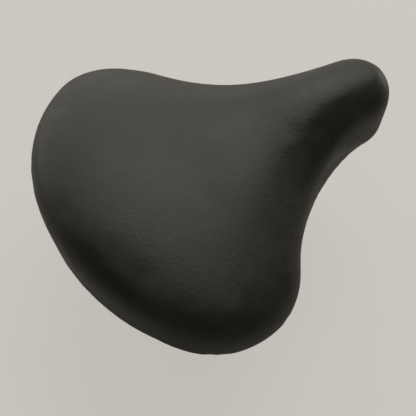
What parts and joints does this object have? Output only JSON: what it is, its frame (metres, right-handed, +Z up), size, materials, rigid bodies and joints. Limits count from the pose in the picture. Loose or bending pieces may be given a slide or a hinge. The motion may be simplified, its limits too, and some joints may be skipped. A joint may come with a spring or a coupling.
{
  "type": "bicycle saddle",
  "caption": "Wide sprung bicycle saddle with a padded smooth cover, moulded base shell, steel rails, rear coil springs and a seat-post clamp with cross bolt.",
  "frame": {"origin": "centre of the seat-post clamp's bore, on the post axis", "axes": "+X towards the saddle's nose, +Y towards the rider's left, +Z up; the post axis leans back by 20 degrees"},
  "size_m": [0.2648, 0.2468, 0.1084],
  "materials": {
    "cover_vinyl": "matt black soft vinyl with a very fine grain",
    "shell_plastic": "black moulded polypropylene",
    "black_steel": "black e-coated pressed steel",
    "spring_steel": "satin black enamelled spring steel",
    "zinc_steel": "bright zinc plated"
  },
  "bodies": {
    "clamp": {"clamp_band": "black_steel", "clamp_bolt": "zinc_steel", "clamp_washer_left": "zinc_steel", "clamp_washer_right": "zinc_steel", "clamp_nut_left": "zinc_steel", "clamp_nut_right": "zinc_steel"},
    "cradle": {"clamp_disc_left": "black_steel", "clamp_disc_right": "black_steel", "rail_plate_inner_left": "black_steel", "rail_plate_inner_right": "black_steel", "rail_plate_outer_left": "black_steel", "rail_plate_outer_right": "black_steel"},
    "saddle": {"cover_pad": "cover_vinyl", "base_shell": "shell_plastic", "nose_bracket": "shell_plastic", "rear_yoke": "black_steel", "rail_left": "spring_steel", "rail_right": "spring_steel", "spring_left": "spring_steel", "spring_right": "spring_steel", "spring_seat_left": "black_steel", "spring_seat_right": "black_steel", "seat_bolt_left": "zinc_steel", "seat_bolt_right": "zinc_steel"}
  },
  "joints": [
    {"name": "saddle_tilt", "type": "hinge", "parent": "clamp", "child": "cradle", "pos_m": [-0.02067, 0, -0.00752], "axis": [0, 1, 0], "range_deg": [-20, 20]},
    {"name": "rail_slide", "type": "slide", "parent": "cradle", "child": "saddle", "axis": [1, 0, 0], "range_m": [-0.018, 0.018]}
  ]
}
